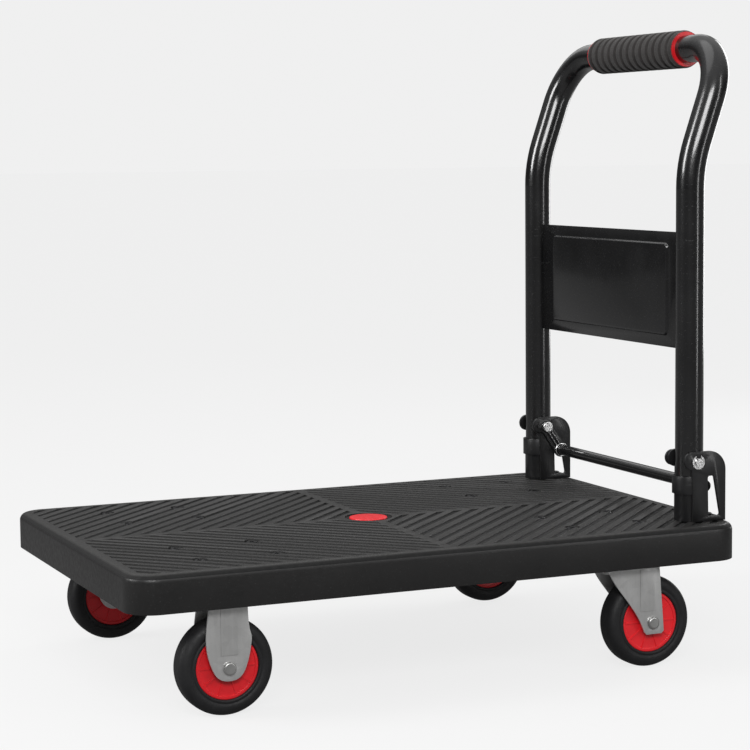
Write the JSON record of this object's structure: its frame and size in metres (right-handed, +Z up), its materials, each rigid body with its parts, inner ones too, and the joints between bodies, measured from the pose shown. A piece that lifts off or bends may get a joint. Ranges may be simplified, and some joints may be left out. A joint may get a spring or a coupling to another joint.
{
  "type": "folding platform cart",
  "caption": "Flat black platform on rigid front and swivel rear casters, with a tubular handle that folds down onto the deck.",
  "frame": {"origin": "on the floor, under the middle of the cart's bounding box", "axes": "+X runs along the deck towards the handle end, +Y runs across it to the right-hand side of someone facing the front, +Z is up"},
  "size_m": [0.7478, 0.47, 0.717],
  "materials": {
    "deck_plastic": "moulded black polypropylene, slight sheen",
    "red_plastic": "bright red moulded plastic",
    "zinc_steel": "zinc-plated fasteners and plates",
    "black_steel": "black oxide screws",
    "galvanised_steel": "pressed and galvanised sheet steel",
    "bright_steel": "bright plated steel",
    "tyre_rubber": "solid black rubber",
    "black_paint": "semi-gloss black powder coat",
    "foam": "closed-cell foam, dark warm grey",
    "cap_plastic": "black moulded plastic"
  },
  "bodies": {
    "base": {"deck": "deck_plastic", "centre_disc": "red_plastic", "deck_bolts": "black_steel", "deck_nuts": "zinc_steel", "mount_plate_front_left": "zinc_steel", "mount_plate_front_right": "zinc_steel", "mount_plate_rear_left": "zinc_steel", "mount_plate_rear_right": "zinc_steel", "caster_bolts": "zinc_steel", "caster_nuts": "zinc_steel", "fork_front_left": "galvanised_steel", "fork_front_right": "galvanised_steel", "swivel_plate_left": "galvanised_steel", "swivel_plate_right": "galvanised_steel", "kingpin_left": "galvanised_steel", "kingpin_right": "galvanised_steel", "axle_bolt_front_left": "zinc_steel", "axle_bolt_front_right": "zinc_steel", "axle_sleeve_front_left": "zinc_steel", "axle_sleeve_front_right": "zinc_steel", "front_axle_nuts": "zinc_steel", "hinge_bracket_left": "black_paint", "hinge_bracket_right": "black_paint", "bracket_bolts": "black_steel", "bracket_nuts": "zinc_steel", "pivot_pin_left": "bright_steel", "pivot_pin_right": "bright_steel", "pin_clips": "bright_steel"},
    "handle": {"handle_tube": "black_paint", "tube_end_caps": "cap_plastic", "foam_grip": "foam", "grip_ring_left": "red_plastic", "grip_ring_right": "red_plastic", "back_panel": "black_paint"},
    "release_bar": {"release_lever_left": "black_paint", "release_lever_right": "black_paint", "lever_rivets": "black_paint", "foot_bar": "black_paint", "return_spring_left": "bright_steel", "return_spring_right": "bright_steel"},
    "swivel_left": {"fork_rear_left": "galvanised_steel", "bearing_balls_left": "bright_steel", "axle_bolt_rear_left": "zinc_steel", "axle_sleeve_rear_left": "zinc_steel", "axle_nut_rear_left": "zinc_steel"},
    "swivel_right": {"fork_rear_right": "galvanised_steel", "bearing_balls_right": "bright_steel", "axle_bolt_rear_right": "zinc_steel", "axle_sleeve_rear_right": "zinc_steel", "axle_nut_rear_right": "zinc_steel"},
    "wheel_front_left": {"hub_front_left": "red_plastic", "tyre_front_left": "tyre_rubber"},
    "wheel_front_right": {"hub_front_right": "red_plastic", "tyre_front_right": "tyre_rubber"},
    "wheel_rear_left": {"hub_rear_left": "red_plastic", "tyre_rear_left": "tyre_rubber"},
    "wheel_rear_right": {"hub_rear_right": "red_plastic", "tyre_rear_right": "tyre_rubber"}
  },
  "joints": [
    {"name": "handle_fold", "type": "hinge", "parent": "base", "child": "handle", "pos_m": [0.30562, 0, 0.2265], "axis": [0, -1, 0], "range_deg": [0, 90]},
    {"name": "release_press", "type": "hinge", "parent": "base", "child": "release_bar", "pos_m": [0.30562, 0, 0.2265], "axis": [0, 1, 0], "range_deg": [0, 15], "stiffness_Nm_per_rad": 2, "springref_deg": -20.05},
    {"name": "swivel_turn_left", "type": "hinge", "parent": "base", "child": "swivel_left", "pos_m": [0.21012, -0.202, 0.12], "axis": [0, 0, 1], "continuous": true},
    {"name": "swivel_turn_right", "type": "hinge", "parent": "base", "child": "swivel_right", "pos_m": [0.21012, 0.202, 0.12], "axis": [0, 0, 1], "continuous": true},
    {"name": "wheel_spin_front_left", "type": "hinge", "parent": "base", "child": "wheel_front_left", "pos_m": [-0.26638, -0.202, 0.052], "axis": [0, 1, 0], "continuous": true},
    {"name": "wheel_spin_front_right", "type": "hinge", "parent": "base", "child": "wheel_front_right", "pos_m": [-0.26638, 0.202, 0.052], "axis": [0, 1, 0], "continuous": true},
    {"name": "wheel_spin_rear_left", "type": "hinge", "parent": "swivel_left", "child": "wheel_rear_left", "pos_m": [0.23662, -0.202, 0.052], "axis": [0, 1, 0], "continuous": true},
    {"name": "wheel_spin_rear_right", "type": "hinge", "parent": "swivel_right", "child": "wheel_rear_right", "pos_m": [0.23662, 0.202, 0.052], "axis": [0, 1, 0], "continuous": true}
  ]
}
